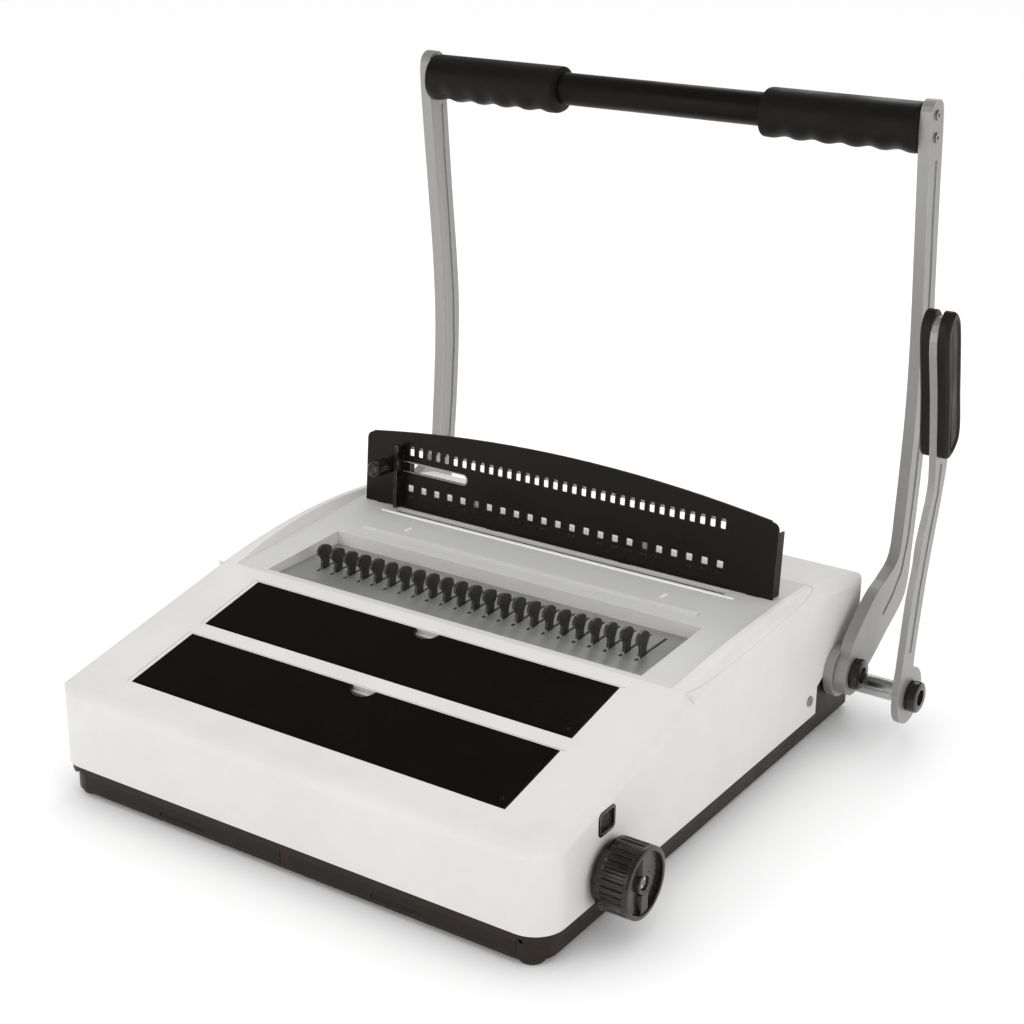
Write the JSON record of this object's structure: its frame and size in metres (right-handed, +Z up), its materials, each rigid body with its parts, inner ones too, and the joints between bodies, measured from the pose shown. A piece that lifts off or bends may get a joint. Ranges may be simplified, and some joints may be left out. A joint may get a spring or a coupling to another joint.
{
  "type": "comb binding machine",
  "caption": "Desktop lever-operated comb binding machine: punches sheets, opens plastic combs, with storage wells and chip trays.",
  "frame": {"origin": "middle of the footprint's bounding box, on the surface the rubber feet stand on", "axes": "+Z up, -Y towards the operator, +X to the operator's right, where the comb lever is"},
  "size_m": [0.4946, 0.5022, 0.4668],
  "materials": {
    "cover_plastic": "fine satin texture",
    "well_plastic": "satin",
    "base_plastic": "satin dark brown-black",
    "black_gloss": "gloss black",
    "tray_plastic": "satin black",
    "rubber_black": "matte",
    "painted_plate": "dark brown powder coat",
    "arm_aluminium": "satin",
    "bright_steel": "ground",
    "plain_steel": "brushed",
    "dark_steel": "blackened",
    "gear_brass": "machined",
    "screw_steel": "turned",
    "window_glass": "smoked clear"
  },
  "bodies": {
    "root": {"base_tray": "base_plastic", "rubber_feet": "rubber_black", "housing_cover": "cover_plastic", "cover_screws": "screw_steel", "side_frame_left": "plain_steel", "side_frame_right": "plain_steel", "tie_rods": "plain_steel", "handle_bushes": "arm_aluminium", "comb_bushes": "plain_steel", "front_well": "well_plastic", "rear_well": "well_plastic", "lid_pins": "bright_steel", "comb_plate": "plain_steel", "carriage_rods": "bright_steel", "rod_blocks": "plain_steel", "die_plate": "plain_steel", "punch_guide": "plain_steel", "throat_spacers": "plain_steel", "ram_guide_rods": "bright_steel", "back_plate": "painted_plate", "hanger_strip": "plain_steel", "plate_brackets": "plain_steel", "window_lens": "window_glass", "knob_bracket": "plain_steel", "knob_bush": "plain_steel", "rod_guides": "plain_steel"},
    "press_handle": {"handle_arm_left": "arm_aluminium", "handle_arm_right": "arm_aluminium", "crossbar": "painted_plate", "grip_left": "black_gloss", "grip_right": "black_gloss", "arm_screws": "screw_steel", "pivot_caps": "black_gloss", "main_shaft": "bright_steel", "punch_cams": "plain_steel"},
    "punch_ram": {"punch_ram": "plain_steel", "punch_pins": "bright_steel"},
    "comb_lever": {"comb_lever_arm": "arm_aluminium", "lever_grip_outer": "black_gloss", "lever_grip_inner": "black_gloss", "lever_cap": "black_gloss", "comb_shaft": "bright_steel", "comb_gears": "gear_brass"},
    "idler_gears": {"idler_gears": "gear_brass"},
    "comb_carriage": {"carriage_beam": "plain_steel", "comb_fingers": "dark_steel", "carriage_racks": "plain_steel"},
    "front_lid": {"front_lid": "black_gloss"},
    "rear_lid": {"rear_lid": "black_gloss"},
    "depth_knob": {"depth_knob": "black_gloss", "knob_screw": "bright_steel", "knob_shaft": "bright_steel", "depth_cam": "plain_steel", "depth_dial": "black_gloss"},
    "depth_rod": {"depth_rod": "plain_steel"},
    "depth_stop": {"depth_stop": "plain_steel"},
    "edge_guide": {"edge_guide": "plain_steel"},
    "guide_knob": {"guide_knob": "black_gloss"},
    "chip_tray_left": {"chip_tray_left": "tray_plastic"},
    "chip_tray_right": {"chip_tray_right": "tray_plastic"}
  },
  "joints": [
    {"name": "handle_swing", "type": "hinge", "parent": "root", "child": "press_handle", "pos_m": [-0.01875, 0.14775, 0.051], "axis": [1, 0, 0], "range_deg": [0, 80]},
    {"name": "ram_travel", "type": "slide", "parent": "root", "child": "punch_ram", "axis": [0, -1, 0], "range_m": [0, 0.01112]},
    {"name": "lever_swing", "type": "hinge", "parent": "root", "child": "comb_lever", "pos_m": [-0.01875, 0.17175, 0.033], "axis": [1, 0, 0], "range_deg": [0, 80]},
    {"name": "idler_turn", "type": "hinge", "parent": "root", "child": "idler_gears", "pos_m": [-0.01875, 0.14775, 0.051], "axis": [1, 0, 0], "range_deg": [-120, 0]},
    {"name": "carriage_travel", "type": "slide", "parent": "root", "child": "comb_carriage", "axis": [0, 1, 0], "range_m": [0, 0.02514]},
    {"name": "front_lid_hinge", "type": "hinge", "parent": "root", "child": "front_lid", "pos_m": [-0.01875, -0.2201, 0.08692], "axis": [1, 0, 0], "range_deg": [0, 90]},
    {"name": "rear_lid_hinge", "type": "hinge", "parent": "root", "child": "rear_lid", "pos_m": [-0.01875, -0.14421, 0.10264], "axis": [1, 0, 0], "range_deg": [0, 90]},
    {"name": "knob_turn", "type": "hinge", "parent": "root", "child": "depth_knob", "pos_m": [-0.01875, -0.18325, 0.043], "axis": [1, 0, 0], "range_deg": [-45, 45]},
    {"name": "rod_travel", "type": "slide", "parent": "root", "child": "depth_rod", "axis": [0, 1, 0], "range_m": [-0.003, 0.003]},
    {"name": "stop_travel", "type": "slide", "parent": "root", "child": "depth_stop", "axis": [0, 0, 1], "range_m": [-0.00151, 0.00151]},
    {"name": "guide_travel", "type": "slide", "parent": "root", "child": "edge_guide", "axis": [1, 0, 0], "range_m": [0, 0.055]},
    {"name": "guide_clamp", "type": "hinge", "parent": "edge_guide", "child": "guide_knob", "pos_m": [-0.17675, 0.08145, 0.16011], "axis": [0, -0.9969, 0.0785], "range_deg": [0, 180]},
    {"name": "tray_left_travel", "type": "slide", "parent": "root", "child": "chip_tray_left", "axis": [0, -1, 0], "range_m": [0, 0.25]},
    {"name": "tray_right_travel", "type": "slide", "parent": "root", "child": "chip_tray_right", "axis": [0, -1, 0], "range_m": [0, 0.25]}
  ],
  "couplings": [
    {"joint": "ram_travel", "follows": "handle_swing", "m_per_rad": 0.00795},
    {"joint": "idler_turn", "follows": "lever_swing", "ratio": -1.5},
    {"joint": "carriage_travel", "follows": "lever_swing", "m_per_rad": 0.018},
    {"joint": "knob_turn", "follows": "rod_travel", "rad_per_m": 261.8},
    {"joint": "stop_travel", "follows": "rod_travel", "ratio": 0.5}
  ]
}
